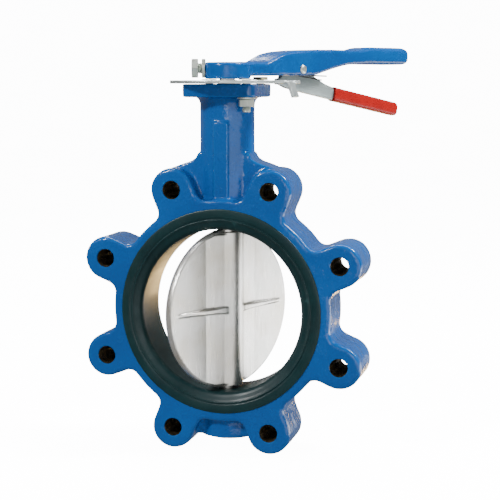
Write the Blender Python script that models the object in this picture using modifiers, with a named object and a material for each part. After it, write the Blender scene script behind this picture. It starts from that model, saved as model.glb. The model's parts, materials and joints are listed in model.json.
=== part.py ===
"""Lugged butterfly valve, DN 150, with a ten-inch latching hand lever.

Metres, +Z up along the stem.  The origin is the centre of the bore, on the stem's axis.
+Y runs along the pipe, and +X points to the right when the valve is seen from upstream.
The disc, the stems and the lever are modelled closed, along +X, and the empty on the stem's
axis then turns them to OPEN_ANGLE.  The trigger hangs on a second empty, on its pin's axis.
"""

import math

import bmesh
import bpy
from mathutils import Matrix, Vector

# ---------------------------------------------------------------- driving dimensions
GAP = 0.0003                # between touching pieces
OPEN_ANGLE = math.radians(60)

# body: ring and lugs
BOLT_CIRCLE_R = 0.120       # PCD 240, PN 16
LUG_COUNT = 8
LUG_R = 0.0200
LUG_FILLET = 0.009
LUG_HOLE_R = 0.00865        # M20 tapping size
BODY_R = 0.103
BODY_HALF = 0.027           # half the width over the lug faces
LINER_SEAT_R = 0.0857
CAST_EDGE = 0.0025

# body: neck, shoulders and foot
NECK_R = 0.0250
NECK_DEPTH_R = 0.0215
NECK_PAD_HALF = 0.0068
NECK_PAD_Z = (0.106, 0.172)
NECK_PAD_FRONT = 0.0228
WEB_HALF = 0.0150
RING_TOP_Z = 0.095          # inside the ring's rim, where the neck, shoulders and foot start
FOOT_Z = -0.1203
FOOT_R = 0.0240
FOOT_DEPTH_R = 0.0202
STEM_BORE_R = 0.0123
THROUGH = 0.05              # half the length of a tool that goes right through the ring

# top flange, ISO 5211 F07
FLANGE_HALF = 0.0336
FLANGE_CORNER = 0.006
FLANGE_Z = (0.195, 0.207)
FLANGE_BOLT_R = 0.035       # PCD 70
FLANGE_HOLE_R = 0.0045
SPOT_Z = FLANGE_Z[0] + 0.0004    # faced for the washers
SPOT_R = 0.0092

# seat liner
LINER_BORE_R = 0.0755
LINER_FACE_R = 0.0945
LINER_HALF = 0.028          # EN 558 series 20: 56 mm over the faces

# disc and stems
DISC_R = 0.0748
DISC_RIM_HALF = 0.0026
DISC_WEB_HALF = 0.0040
DISC_HUB_R = 0.0142
DISC_RIB_HALF = 0.0022
STEM_R = 0.0090
STEM_HOLE_R = STEM_R + GAP
DRIVE_HALF = 0.0062         # square that drives the disc
DRIVE_Z = (0.040, 0.058)
HEAD_SQUARE_HALF = 0.0070   # square that takes the lever
STEM_SHOULDER_Z = 0.2107
STEM_TOP_Z = 0.2255
LOWER_STEM_Z = (-0.1065, -0.045)

# notch plate
PLATE_Z = (0.2073, 0.2103)
PLATE_BASE_R = 0.0525
PLATE_NOTCH_R = (0.0625, 0.0668)
PLATE_STEM_HOLE_R = 0.014
NOTCH_HALF = 0.0031
NOTCH_STEP = math.radians(15)
NOTCH_COUNT = 7
TAB_ROOT_R = 0.0606            # where the end stops start to bend down
TAB_HALF = 0.0060
TAB_ANGLES = (math.radians(-10.5), math.radians(100.5))
BOLT_R = 0.0040             # M8
BOLT_TAIL = 0.0134          # how far a bolt reaches below the flange
BOLT_HEAD_R = (0.0075, 0.0062)
BOLT_HEAD_HEIGHT = 0.0011
STOP_HEAD_HEIGHT = 0.0029
HEXAGON_M8 = 0.013          # across flats
WASHER_R = 0.0084
WASHER_THICK = 0.0016
NUT_Z = (0.0083, 0.0019)    # the nut's faces below the flange

# lever, heights measured from the top flange's face
LEVER_HUB_R = 0.0210
LEVER_HUB_HEIGHTS = (0.0046, 0.0198)
CLAMP_ANGLE = math.radians(135)
CLAMP_HEIGHT = 0.0141
CLAMP_FLAT = 0.0197         # face on the hub that the lock nut bears on
CLAMP_R = 0.0050            # M10
CLAMP_HOLE_R = 0.0053
CLAMP_SEAT_R = 0.0102
CLAMP_TIP = 0.0073          # where the screw presses on the stem's square
CLAMP_HEAD = (CLAMP_FLAT + 0.0071, CLAMP_FLAT + 0.0128)
HEXAGON_M10 = 0.017         # across flats
LOCK_NUT_THICK = 0.0032
PIN_REACH = 0.0833
PIN_HEIGHT = 0.0137
PIN_R = 0.0030
PIN_HEAD_R = (0.0042, 0.0032)
PIN_HEAD_Y = (0.0175, 0.0190)
TRIGGER_HALF = 0.0025
EYE_R = 0.0086
SLEEVE_HALF = 0.0052
SLEEVE_WALL = 0.0018
TANG_HALF = 0.0046          # half the height of the trigger inside its grip
FACE_Z = FLANGE_Z[1]

# keeps the corners of a round shape off the symmetry planes, where other corners lie
OFF_AXIS = Matrix.Rotation(math.radians(2.7), 4, "Z")

BLUE = (0.004, 0.090, 0.380, 1)
ZINC = (0.62, 0.66, 0.65, 1)


# ---------------------------------------------------------------- scene helpers
def clear_scene():
    for old in list(bpy.data.objects):
        bpy.data.objects.remove(old, do_unlink=True)


def collection(name):
    made = bpy.data.collections.new(name)
    bpy.context.scene.collection.children.link(made)
    return made


def material(name, colour, roughness, metallic=0.0):
    made = bpy.data.materials.new(name)
    made.use_nodes = True
    shader = made.node_tree.nodes["Principled BSDF"]
    shader.inputs["Base Color"].default_value = colour
    shader.inputs["Roughness"].default_value = roughness
    shader.inputs["Metallic"].default_value = metallic
    return made


def empty(name, place, parent=None):
    made = bpy.data.objects.new(name, None)
    made.location = place
    made.parent = parent
    PARTS.objects.link(made)
    return made


def from_bmesh(name, bm):
    """A new object from a bmesh, in the cutters' collection until it is kept."""
    bmesh.ops.recalc_face_normals(bm, faces=bm.faces)
    mesh = bpy.data.meshes.new(name)
    bm.to_mesh(mesh)
    bm.free()
    made = bpy.data.objects.new(name, mesh)
    made.hide_render = True
    made.display_type = "WIRE"
    CUTTERS.objects.link(made)
    return made


def keep(piece, look, parent=None):
    """Makes a shape one of the valve's pieces, with its own material."""
    CUTTERS.objects.unlink(piece)
    PARTS.objects.link(piece)
    piece.hide_render = False
    piece.display_type = "TEXTURED"
    piece.parent = parent
    piece.data.materials.clear()
    piece.data.materials.append(material(piece.name, *look))
    piece.data.shade_smooth()
    piece.data.set_sharp_from_angle(angle=math.radians(35))
    return piece


def boolean(piece, tool, operation):
    modifier = piece.modifiers.new(tool.name, "BOOLEAN")
    modifier.operation = operation
    modifier.object = tool
    modifier.solver = "EXACT"


def cut(piece, *tools):
    for tool in tools:
        tool.parent = piece.parent
        boolean(piece, tool, "DIFFERENCE")


def join(piece, *others):
    for other in others:
        other.parent = piece.parent
        boolean(piece, other, "UNION")


def weld(piece):
    """Merges the near-coincident points that a long run of cuts leaves."""
    modifier = piece.modifiers.new("weld", "WELD")
    modifier.merge_threshold = 0.00002


def rounded(piece, width, segments=2):
    modifier = piece.modifiers.new("rounded", "BEVEL")
    modifier.width = width
    modifier.segments = segments
    modifier.limit_method = "ANGLE"
    modifier.angle_limit = math.radians(40)
    return piece


# ---------------------------------------------------------------- shape helpers
def block(name, low, high):
    bm = bmesh.new()
    bmesh.ops.create_cube(bm, size=1)
    size = Vector(high) - Vector(low)
    middle = (Vector(high) + Vector(low)) / 2
    bmesh.ops.scale(bm, vec=size, verts=bm.verts)
    bmesh.ops.translate(bm, vec=middle, verts=bm.verts)
    return from_bmesh(name, bm)


def rod(name, radius, start, end, sides=32, end_radius=None, turn=0.0):
    """A cylinder or a cone between two points, turned about its own axis by turn."""
    start, end = Vector(start), Vector(end)
    along = end - start
    bm = bmesh.new()
    bmesh.ops.create_cone(bm, cap_ends=True, segments=sides, radius1=radius,
                          radius2=radius if end_radius is None else end_radius, depth=along.length)
    spin = Matrix.Rotation(turn, 4, "Z")
    aim = along.to_track_quat("Z", "Y").to_matrix().to_4x4()
    bmesh.ops.transform(bm, matrix=Matrix.Translation((start + end) / 2) @ aim @ spin, verts=bm.verts)
    return from_bmesh(name, bm)


def hexagon(name, across_flats, start, end, turn=0.0):
    return rod(name, across_flats / math.sqrt(3), start, end, sides=6, turn=turn)


def solid_from(name, rough):
    """A mesh object from a curve or from an object with modifiers, welded and closed."""
    bpy.context.scene.collection.objects.link(rough)
    bpy.context.view_layer.update()
    evaluated = rough.evaluated_get(bpy.context.evaluated_depsgraph_get())
    mesh = bpy.data.meshes.new_from_object(evaluated)
    mesh.transform(rough.matrix_world)
    bpy.data.objects.remove(rough, do_unlink=True)
    bm = bmesh.new()
    bm.from_mesh(mesh)
    bmesh.ops.remove_doubles(bm, verts=bm.verts, dist=0.000005)
    bmesh.ops.dissolve_limit(bm, angle_limit=math.radians(0.5), verts=bm.verts, edges=bm.edges)
    bpy.data.meshes.remove(mesh)
    return from_bmesh(name, bm)


def slab(name, outline, low, high, plane="XZ"):
    """A flat outline made solid between low and high, across the plane it is drawn in."""
    curve = bpy.data.curves.new(name, "CURVE")
    curve.dimensions = "2D"
    curve.fill_mode = "BOTH"
    curve.extrude = (high - low) / 2
    spline = curve.splines.new("POLY")
    spline.points.add(len(outline) - 1)
    spline.use_cyclic_u = True
    for point, (across, up) in zip(spline.points, outline):
        point.co = (across, up, 0, 1)
    rough = bpy.data.objects.new(name, curve)
    middle = (low + high) / 2
    if plane == "XZ":
        rough.rotation_euler.x = math.pi / 2
        rough.location.y = middle
    else:
        rough.location.z = middle
    return solid_from(name, rough)


def turned(name, profile, axis="Z", sides=64, closed=True):
    """A profile of (radius, height) points turned about an axis; an open one ends on the axis."""
    mesh = bpy.data.meshes.new(name)
    if axis == "Z":
        points = [(radius, 0, height) for radius, height in profile]
    else:
        points = [(radius, height, 0) for radius, height in profile]
    edges = [(i, i + 1) for i in range(len(points) - 1)]
    if closed:
        edges.append((len(points) - 1, 0))
    mesh.from_pydata(points, edges, [])
    rough = bpy.data.objects.new(name, mesh)
    screw = rough.modifiers.new("turned", "SCREW")
    screw.axis = axis
    screw.steps = screw.render_steps = sides
    screw.use_merge_vertices = True
    screw.merge_threshold = 0.00001
    return solid_from(name, rough)


def ring(name, inner, outer, low, high, sides=40):
    return turned(name, [(inner, low), (outer, low), (outer, high), (inner, high)], sides=sides)


def o_ring(name, middle_r, thick_r, height, sides=24, around=6):
    steps = [2 * math.pi * i / around for i in range(around)]
    profile = [(middle_r + thick_r * math.cos(a), height + thick_r * math.sin(a)) for a in steps]
    return turned(name, profile, sides=sides)


def wire(name, points, radius, resolution=2):
    """A round wire along a run of points, with closed ends."""
    curve = bpy.data.curves.new(name, "CURVE")
    curve.dimensions = "3D"
    curve.bevel_depth = radius
    curve.bevel_resolution = resolution
    curve.use_fill_caps = True
    spline = curve.splines.new("POLY")
    spline.points.add(len(points) - 1)
    for point, place in zip(spline.points, points):
        point.co = (*place, 1)
    return solid_from(name, bpy.data.objects.new(name, curve))


def arc(centre, radius, start, end, steps):
    """Points on an arc, from one angle to another, both ends included."""
    angles = [start + (end - start) * i / steps for i in range(steps + 1)]
    return [(centre[0] + radius * math.cos(a), centre[1] + radius * math.sin(a)) for a in angles]


def around(radius, angle, height=0.0):
    return (radius * math.cos(angle), radius * math.sin(angle), height)


# ---------------------------------------------------------------- body
def lug_angles():
    return [2 * math.pi * (n + 0.5) / LUG_COUNT for n in range(LUG_COUNT)]


def lug_outline():
    """The ring and its lugs seen from the front, with a hollow corner on each side of a lug."""
    side = LUG_R + LUG_FILLET
    out = math.sqrt((BODY_R + LUG_FILLET) ** 2 - side ** 2)
    root = math.atan2(side, -out)
    half = math.atan2(side, out)
    spare = 2 * math.pi / LUG_COUNT - 2 * half
    points = []
    for angle in lug_angles():
        lug = arc((out, -side), LUG_FILLET, root, math.pi / 2, 3)
        lug += arc((BOLT_CIRCLE_R, 0), LUG_R, -math.pi / 2, math.pi / 2, 8)
        lug += arc((out, side), LUG_FILLET, -math.pi / 2, -root, 3)
        lug += arc((0, 0), BODY_R, half + spare / 3, half + spare * 2 / 3, 1)
        turn = Matrix.Rotation(angle, 2)
        points += [turn @ Vector(point) for point in lug]
    return [tuple(point) for point in points]


def mirrored(half):
    """A symmetric outline from its right half, listed from the bottom up."""
    return half + [(-x, z) for x, z in reversed(half)]


def body_shapes():
    flare, top, root = FLANGE_Z[0] - 0.0030, FLANGE_Z[0] + 0.0012, RING_TOP_Z - 0.005
    neck = turned("neck", [(0, root), (NECK_R, root), (NECK_R, flare - 0.0035), (NECK_R + 0.0012, flare),
                           (NECK_R + 0.0040, top), (0, top)], sides=40, closed=False)
    neck.data.transform(Matrix.Diagonal((1, NECK_DEPTH_R / NECK_R, 1, 1)) @ OFF_AXIS)
    pad = block("neck_pad", (-NECK_PAD_HALF, -NECK_PAD_FRONT, NECK_PAD_Z[0]),
                (NECK_PAD_HALF, 0, NECK_PAD_Z[1]))
    slope = [(0.052, RING_TOP_Z), (0.049, 0.1303), (0.041, 0.1334), (0.031, 0.1368), (0.0262, 0.1396),
             (0.0244, 0.1440)]
    shoulder = slab("shoulders", mirrored(slope), -WEB_HALF, WEB_HALF)
    foot = rod("foot", FOOT_R, (0, 0, FOOT_Z), (0, 0, -root), sides=40)
    foot.data.transform(Matrix.Diagonal((1, FOOT_DEPTH_R / FOOT_R, 1, 1)) @ OFF_AXIS)
    keel = [(0.030, FOOT_Z + 0.0018), (0.036, FOOT_Z + 0.0034), (0.046, -RING_TOP_Z)]
    foot_web = slab("foot_web", mirrored(keel), -WEB_HALF, WEB_HALF)
    flange = slab("top_flange", rounded_square(FLANGE_HALF, FLANGE_CORNER), *FLANGE_Z, plane="XY")
    return [rounded(shoulder, CAST_EDGE, 1), neck, rounded(pad, 0.0012, 1), foot,
            rounded(foot_web, CAST_EDGE, 1), rounded(flange, 0.002, 1)]


def rounded_square(half, corner):
    points = []
    for n in range(4):
        angle = math.pi / 2 * n
        centre = Matrix.Rotation(angle, 2) @ Vector((half - corner, half - corner))
        points += arc(centre, corner, angle, angle + math.pi / 2, 4)
    return points


def flange_spots():
    return [around(FLANGE_BOLT_R, math.radians(a)) for a in (45, 135, 225, 315)]


def make_body():
    body = rounded(slab("valve_body", lug_outline(), -BODY_HALF, BODY_HALF), CAST_EDGE, 1)
    keep(body, (BLUE, 0.25))
    join(body, *body_shapes())
    cut(body, rod("liner_seat", LINER_SEAT_R, (0, -THROUGH, 0), (0, THROUGH, 0), sides=72))
    stem_bore = rod("stem_bore", STEM_BORE_R, (0, 0, -0.15), (0, 0, 0.25), sides=32)
    stem_bore.data.transform(OFF_AXIS)
    cut(body, stem_bore)
    for angle in lug_angles():
        x, z, _ = around(BOLT_CIRCLE_R, angle)
        cut(body, rod("lug_hole", LUG_HOLE_R, (x, -THROUGH, z), (x, THROUGH, z), sides=12))
    for x, y, _ in flange_spots():
        cut(body, rod("flange_hole", FLANGE_HOLE_R, (x, y, 0.15), (x, y, 0.25), sides=16))
    for x, y, _ in (flange_spots()[1], flange_spots()[3]):
        cut(body, rod("washer_seat", SPOT_R, (x, y, 0.150), (x, y, SPOT_Z), sides=24))
    weld(body)


def make_liner():
    """The rubber seat: a barrel with a lipped face on each side that grips the body's ring."""
    face = [(LINER_BORE_R, 0.0215), (0.0775, 0.0253), (0.0828, 0.0272), (0.0842, LINER_HALF),
            (LINER_FACE_R, LINER_HALF), (LINER_FACE_R, BODY_HALF + GAP),
            (LINER_SEAT_R - GAP, BODY_HALF + GAP)]
    profile = face + [(radius, -height) for radius, height in reversed(face)]
    liner = keep(turned("seat_liner", profile, axis="Y", sides=72), ((0.010, 0.035, 0.042, 1), 0.45))
    cut(liner, rod("liner_stem_hole", STEM_HOLE_R, (0, 0, -0.1), (0, 0, 0.1), sides=32))


def make_bushes_and_seals():
    bronze = ((0.55, 0.35, 0.14, 1), 0.4, 0.9)
    rubber = ((0.02, 0.02, 0.02, 1), 0.5)
    outer = STEM_BORE_R - GAP
    for name, low, high in (("upper_bush", 0.163, 0.203), ("middle_bush", 0.1005, 0.124),
                            ("lower_bush", -0.1065, -0.0915)):
        keep(ring(name, STEM_HOLE_R, outer, low, high, sides=32), bronze)
    thick = (outer - STEM_HOLE_R) / 2
    for name, height in (("upper_stem_o_ring", 0.161), ("middle_stem_o_ring", 0.098),
                         ("lower_stem_o_ring", -0.089)):
        keep(o_ring(name, STEM_HOLE_R + thick, thick, height), rubber)


def make_bottom_plug():
    top, groove = FOOT_Z + 0.0095, FOOT_Z + 0.0055
    outer = STEM_BORE_R - GAP
    profile = [(0, FOOT_Z + 0.0003), (outer, FOOT_Z + 0.0003), (outer, groove - 0.0016),
               (outer - 0.0022, groove - 0.0016), (outer - 0.0022, groove + 0.0016),
               (outer, groove + 0.0016), (outer, top), (0, top)]
    plug = keep(turned("bottom_plug", profile, sides=32, closed=False), (ZINC, 0.35, 0.9))
    cut(plug, hexagon("key_socket", 0.010, (0, 0, FOOT_Z - 0.01), (0, 0, FOOT_Z + 0.0045)))
    keep(o_ring("plug_o_ring", outer - 0.0009, 0.0009, groove), ((0.02, 0.02, 0.02, 1), 0.5))


# ---------------------------------------------------------------- disc and stems
def make_disc():
    """A stainless disc: a plate with a chamfered rim, a hub along the stem and one rib across."""
    edge, web = DISC_RIM_HALF, DISC_WEB_HALF
    profile = [(0, -web), (0.0655, -web), (0.0675, -edge - 0.0012), (0.0715, -edge - 0.0012),
               (DISC_R, -edge + 0.0006), (DISC_R, edge - 0.0006), (0.0715, edge + 0.0012),
               (0.0675, edge + 0.0012), (0.0655, web), (0, web)]
    disc = keep(turned("disc", profile, axis="Y", sides=72, closed=False),
                ((0.60, 0.59, 0.56, 1), 0.3, 0.9), STEM_AXIS)
    hub = rod("disc_hub", DISC_HUB_R, (0, 0, -0.0722), (0, 0, 0.0722), sides=32)
    flank = [(0.031, -DISC_WEB_HALF), (0.031, DISC_WEB_HALF), (0.012, 0.0088),
             (-0.012, 0.0088), (-0.031, DISC_WEB_HALF), (-0.031, -DISC_WEB_HALF),
             (-0.012, -0.0088), (0.012, -0.0088)]
    flanks = slab("disc_flanks", flank, -0.066, 0.066, plane="XY")
    rise = [(0.0665, -0.0036), (0.0665, 0.0036), (0.015, 0.0105), (-0.015, 0.0105),
            (-0.0665, 0.0036), (-0.0665, -0.0036), (-0.015, -0.0105), (0.015, -0.0105)]
    rib = slab("disc_rib", rise, -DISC_RIB_HALF, DISC_RIB_HALF, plane="XY")
    join(disc, hub, flanks, rib)
    low, high = DRIVE_Z
    hole = DRIVE_HALF + GAP
    cut(disc,
        rod("upper_stem_hole", STEM_HOLE_R, (0, 0, high), (0, 0, 0.09), sides=32),
        block("drive_hole", (-hole, -hole, low - GAP), (hole, hole, high + 0.002)),
        rod("lower_stem_hole", STEM_HOLE_R, (0, 0, -0.09), (0, 0, LOWER_STEM_Z[1] + GAP), sides=32))


def make_stems():
    steel = ((0.55, 0.55, 0.53, 1), 0.3, 0.9)
    groove_low, groove_high, groove_r = 0.2030 + GAP, 0.2048, 0.0080
    profile = [(0, DRIVE_Z[0]), (STEM_R, DRIVE_Z[0]), (STEM_R, groove_low), (groove_r, groove_low),
               (groove_r, groove_high), (STEM_R, groove_high), (STEM_R, STEM_TOP_Z), (0, STEM_TOP_Z)]
    stem = keep(turned("upper_stem", profile, sides=32, closed=False), steel, STEM_AXIS)
    cut(stem, square_shell("drive_square", DRIVE_HALF, 0.02, DRIVE_Z[1] + GAP))
    cut(stem, square_shell("head_square", HEAD_SQUARE_HALF, STEM_SHOULDER_Z, 0.25, CLAMP_ANGLE))
    weld(stem)
    lower = rod("lower_stem", STEM_R, (0, 0, LOWER_STEM_Z[0]), (0, 0, LOWER_STEM_Z[1]), sides=32)
    keep(rounded(lower, 0.001, 1), steel, STEM_AXIS)
    clip = ring("retaining_ring", groove_r + GAP, STEM_BORE_R - GAP, groove_low + 0.0001,
                groove_high - GAP, sides=32)
    keep(clip, ((0.10, 0.10, 0.11, 1), 0.4, 0.9), STEM_AXIS)
    cut(clip, block("clip_mouth", (-0.003, 0, 0.19), (0.003, 0.02, 0.22)))


def square_shell(name, half, low, high, turn=0.0):
    """What is cut away from a stem to leave a square on it."""
    shell = block(name, (-0.03, -0.03, low), (0.03, 0.03, high))
    core = block(name + "_core", (-half, -half, low - 0.01), (half, half, high + 0.01))
    core.data.transform(Matrix.Rotation(turn, 4, "Z"))
    shell.parent = STEM_AXIS
    cut(shell, core)
    return shell


# ---------------------------------------------------------------- notch plate
def plate_outline():
    """A round base with a fan on the open side, notched where the latch stops the lever."""
    inner, outer = PLATE_NOTCH_R
    reach, shoulder = math.radians(15.8), math.radians(4.6)
    points = arc((0, 0), TAB_ROOT_R, -reach, -shoulder, 2)
    points += arc((0, 0), outer, -shoulder, -math.asin(NOTCH_HALF / outer), 1)
    for n in range(NOTCH_COUNT):
        turn = Matrix.Rotation(n * NOTCH_STEP, 2)
        notch = [(math.sqrt(outer ** 2 - NOTCH_HALF ** 2), -NOTCH_HALF), (inner, -NOTCH_HALF),
                 (inner, NOTCH_HALF), (math.sqrt(outer ** 2 - NOTCH_HALF ** 2), NOTCH_HALF)]
        points += [tuple(turn @ Vector(point)) for point in notch]
        if n < NOTCH_COUNT - 1:
            points += arc((0, 0), outer, (n + 0.4) * NOTCH_STEP, (n + 0.6) * NOTCH_STEP, 1)
    end = (NOTCH_COUNT - 1) * NOTCH_STEP
    points += arc((0, 0), outer, end + math.asin(NOTCH_HALF / outer) * 1.2, end + shoulder, 1)
    points += arc((0, 0), TAB_ROOT_R, end + shoulder, end + reach, 2)
    points += arc((0, 0), PLATE_BASE_R, end + 1.4 * reach, 2 * math.pi - 1.4 * reach, 28)
    return points


def plate_tab(angle):
    """The end stop: a tongue bent down and outwards from the fan's rim."""
    low, high = PLATE_Z
    root = TAB_ROOT_R
    profile = [(root - 0.004, low), (root + 0.0004, low), (root + 0.0018, low - 0.0014),
               (root + 0.0060, low - 0.0126), (root + 0.0089, low - 0.0116), (root + 0.0050, low - 0.0004),
               (root + 0.0034, high - 0.0008), (root + 0.0010, high), (root - 0.004, high)]
    tab = slab("plate_tab", profile, -TAB_HALF, TAB_HALF)
    tab.data.transform(Matrix.Rotation(angle, 4, "Z"))
    return tab


def make_plate():
    plate = keep(slab("notch_plate", plate_outline(), *PLATE_Z, plane="XY"), (ZINC, 0.4, 0.7))
    join(plate, *[plate_tab(angle) for angle in TAB_ANGLES])
    cut(plate, rod("plate_stem_hole", PLATE_STEM_HOLE_R, (0, 0, 0.2), (0, 0, 0.22), sides=40))
    for x, y, _ in flange_spots():
        cut(plate, rod("plate_hole", FLANGE_HOLE_R, (x, y, 0.2), (x, y, 0.22), sides=16))


def make_plate_fixings():
    """Two bolts across one diagonal, with their washers and nuts, and a screw on the other one."""
    head_z, under = PLATE_Z[1] + GAP, SPOT_Z - GAP
    head_top = head_z + BOLT_HEAD_HEIGHT
    zinc = (ZINC, 0.35, 0.8)
    for place, spot in (("rear", 1), ("front", 3)):
        x, y, _ = flange_spots()[spot]
        bolt = rod(f"plate_bolt_{place}", BOLT_R, (x, y, under - BOLT_TAIL), (x, y, head_z + 0.0005), sides=16)
        join(keep(bolt, zinc), rod("bolt_head", BOLT_HEAD_R[0], (x, y, head_z), (x, y, head_top),
                                   sides=24, end_radius=BOLT_HEAD_R[1]))
        washer = rod(f"plate_washer_{place}", WASHER_R, (x, y, under - WASHER_THICK), (x, y, under), sides=24)
        nut = hexagon(f"plate_nut_{place}", HEXAGON_M8, (x, y, under - NUT_Z[0]), (x, y, under - NUT_Z[1]),
                      turn=0.45)
        for piece in (washer, nut):
            cut(keep(piece, zinc), rod("bolt_hole", BOLT_R + GAP, (x, y, 0.17), (x, y, 0.2), sides=16))
    x, y, _ = flange_spots()[0]
    screw = rod("stop_screw", BOLT_R, (x, y, FLANGE_Z[0] + 0.0005), (x, y, head_z + 0.001), sides=16)
    keep(screw, ((0.50, 0.42, 0.20, 1), 0.35, 0.8))
    join(screw, hexagon("stop_screw_head", HEXAGON_M8, (x, y, head_z), (x, y, head_z + STOP_HEAD_HEIGHT),
                        turn=0.35))


# ---------------------------------------------------------------- lever
def section(reach, low, high, half, corner=0.0035):
    """A rounded rectangle across the lever, at a distance from the stem."""
    corners = []
    for n, (side, level) in enumerate(((1, 1), (-1, 1), (-1, -1), (1, -1))):
        centre = (side * (half - corner), (low + high) / 2 + level * ((high - low) / 2 - corner))
        corners += arc(centre, corner, math.pi / 2 * n, math.pi / 2 * (n + 1), 3)
    return [(reach, y, FACE_Z + z) for y, z in corners]


# distance from the stem, height of the underside and of the top, half the width
LEVER_STATIONS = [
    (0.0060, 0.0072, 0.0198, 0.0172), (0.0200, 0.0072, 0.0198, 0.0174), (0.0360, 0.0073, 0.0200, 0.0174),
    (0.0420, 0.0074, 0.0220, 0.0174), (0.0490, 0.0075, 0.0252, 0.0173), (0.0570, 0.0076, 0.0282, 0.0172),
    (0.0690, 0.0078, 0.0304, 0.0172), (0.0870, 0.0080, 0.0320, 0.0172), (0.1040, 0.0083, 0.0327, 0.0170),
    (0.1120, 0.0103, 0.0329, 0.0167), (0.1310, 0.0147, 0.0331, 0.0160), (0.1500, 0.0184, 0.0331, 0.0152),
    (0.1610, 0.0193, 0.0331, 0.0148), (0.1730, 0.0195, 0.0335, 0.0146), (0.1800, 0.0195, 0.0356, 0.0148),
    (0.1870, 0.0195, 0.0366, 0.0150), (0.2350, 0.0196, 0.0368, 0.0150), (0.2430, 0.0204, 0.0352, 0.0140),
    (0.2470, 0.0234, 0.0318, 0.0110),
]


def loft(name, sections):
    """A closed skin over a run of sections that have the same number of points."""
    bm = bmesh.new()
    rows = [[bm.verts.new(point) for point in points] for points in sections]
    count = len(rows[0])
    for row, after in zip(rows, rows[1:]):
        for i in range(count):
            j = (i + 1) % count
            bm.faces.new((row[i], row[j], after[j], after[i]))
    bm.faces.new(rows[0])
    bm.faces.new(rows[-1])
    return from_bmesh(name, bm)


def channel():
    """The hollow under the lever that the trigger works in."""
    stations = [(0.0262, 0.0150), (0.0370, 0.0152), (0.0490, 0.0198), (0.0570, 0.0230),
                (0.0690, 0.0254), (0.0870, 0.0270), (0.1380, 0.0280), (0.1480, 0.0246)]
    return loft("channel", [section(x, -0.02, top, 0.0115, 0.002) for x, top in stations])


def clamp_line(distance):
    """A point on the clamp screw's axis."""
    return Vector(around(distance, CLAMP_ANGLE, FACE_Z + CLAMP_HEIGHT))


def make_lever():
    low, high = (FACE_Z + height for height in LEVER_HUB_HEIGHTS)
    arm = loft("lever_handle", [section(*station) for station in LEVER_STATIONS])
    keep(arm, (BLUE, 0.25), STEM_AXIS)
    hub = rod("lever_hub", LEVER_HUB_R, (0, 0, low), (0, 0, high), sides=48)
    join(arm, rounded(hub, 0.0015, 1))
    half = HEAD_SQUARE_HALF + GAP
    square = block("lever_square", (-half, -half, 0.2), (half, half, 0.24))
    square.data.transform(Matrix.Rotation(CLAMP_ANGLE, 4, "Z"))
    pin_z = FACE_Z + PIN_HEIGHT
    cut(arm, channel(), square,
        rod("clamp_hole", CLAMP_HOLE_R, clamp_line(0.002), clamp_line(0.04), sides=20),
        rod("clamp_seat", CLAMP_SEAT_R, clamp_line(CLAMP_FLAT), clamp_line(0.06), sides=32),
        rod("pin_hole", PIN_R + GAP, (PIN_REACH, -0.03, pin_z), (PIN_REACH, 0.03, pin_z), sides=20))
    weld(arm)


def make_clamp():
    """The screw that grips the stem's square, and its lock nut, each with two flats level."""
    zinc = (ZINC, 0.35, 0.8)
    flat_down = math.radians(30)
    start, end = CLAMP_HEAD
    screw = rod("clamp_screw", CLAMP_R, clamp_line(CLAMP_TIP), clamp_line(start + 0.0006), sides=20)
    keep(screw, zinc, STEM_AXIS)
    join(screw, hexagon("clamp_head", HEXAGON_M10, clamp_line(start), clamp_line(end), flat_down))
    seat = CLAMP_FLAT + GAP
    lock = hexagon("clamp_lock_nut", HEXAGON_M10, clamp_line(seat), clamp_line(seat + LOCK_NUT_THICK),
                   flat_down)
    keep(lock, zinc, STEM_AXIS)
    cut(lock, rod("lock_nut_hole", CLAMP_HOLE_R, clamp_line(0.01), clamp_line(0.03), sides=20))


# ---------------------------------------------------------------- trigger, about its pin
def trigger_outline():
    """The latch tooth, the eye round the pin, and the arm that slopes down to the grip."""
    lower = [(0.1500, -0.0426), (0.0590, -0.0275), (0.0584, -0.0293), (0.0091, -0.0208), (-0.0074, -0.0174),
             (-0.0154, -0.0143), (-0.0194, -0.0143), (-0.0194, -0.0089), (-0.0150, -0.0084),
             (-0.0132, -0.0048)]
    upper = [(0.0131, 0.0020), (0.0266, -0.0042), (0.0372, -0.0090), (0.0475, -0.0138), (0.0596, -0.0171),
             (0.0600, -0.0189), (0.1500, -0.0338)]
    eye = arc((0, 0), EYE_R, math.radians(170), math.radians(45), 8)
    return lower + eye + upper


def sleeve_outline(grow):
    """The grip's side view: a straight bar with a rounded end."""
    start, end = Vector((0.0602, -0.0236)), Vector((0.1563, -0.0394))
    along = (end - start).normalized()
    across = Vector((-along.y, along.x))
    half = TANG_HALF + grow
    corner = half * 0.75
    tip = end + along * 0.0045
    slope = math.atan2(along.y, along.x)
    points = [start - across * half]
    points += arc(tip - across * (half - corner), corner, slope - math.pi / 2, slope, 4)
    points += arc(tip + across * (half - corner), corner, slope, slope + math.pi / 2, 4)
    points += [start + across * half]
    return [tuple(point) for point in points]


def make_trigger():
    lever = slab("trigger_lever", trigger_outline(), -TRIGGER_HALF, TRIGGER_HALF)
    keep(lever, ((0.45, 0.50, 0.50, 1), 0.45, 0.6), TRIGGER_AXIS)
    cut(lever, rod("trigger_eye", PIN_R + GAP, (0, -0.02, 0), (0, 0.02, 0), sides=20))
    sleeve = slab("trigger_sleeve", sleeve_outline(SLEEVE_WALL), -SLEEVE_HALF, SLEEVE_HALF)
    keep(rounded(sleeve, 0.0018), ((0.60, 0.020, 0.015, 1), 0.4), TRIGGER_AXIS)
    hollow = slab("sleeve_hollow", hollow_outline(), -TRIGGER_HALF - GAP, TRIGGER_HALF + GAP)
    cut(sleeve, hollow)


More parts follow.
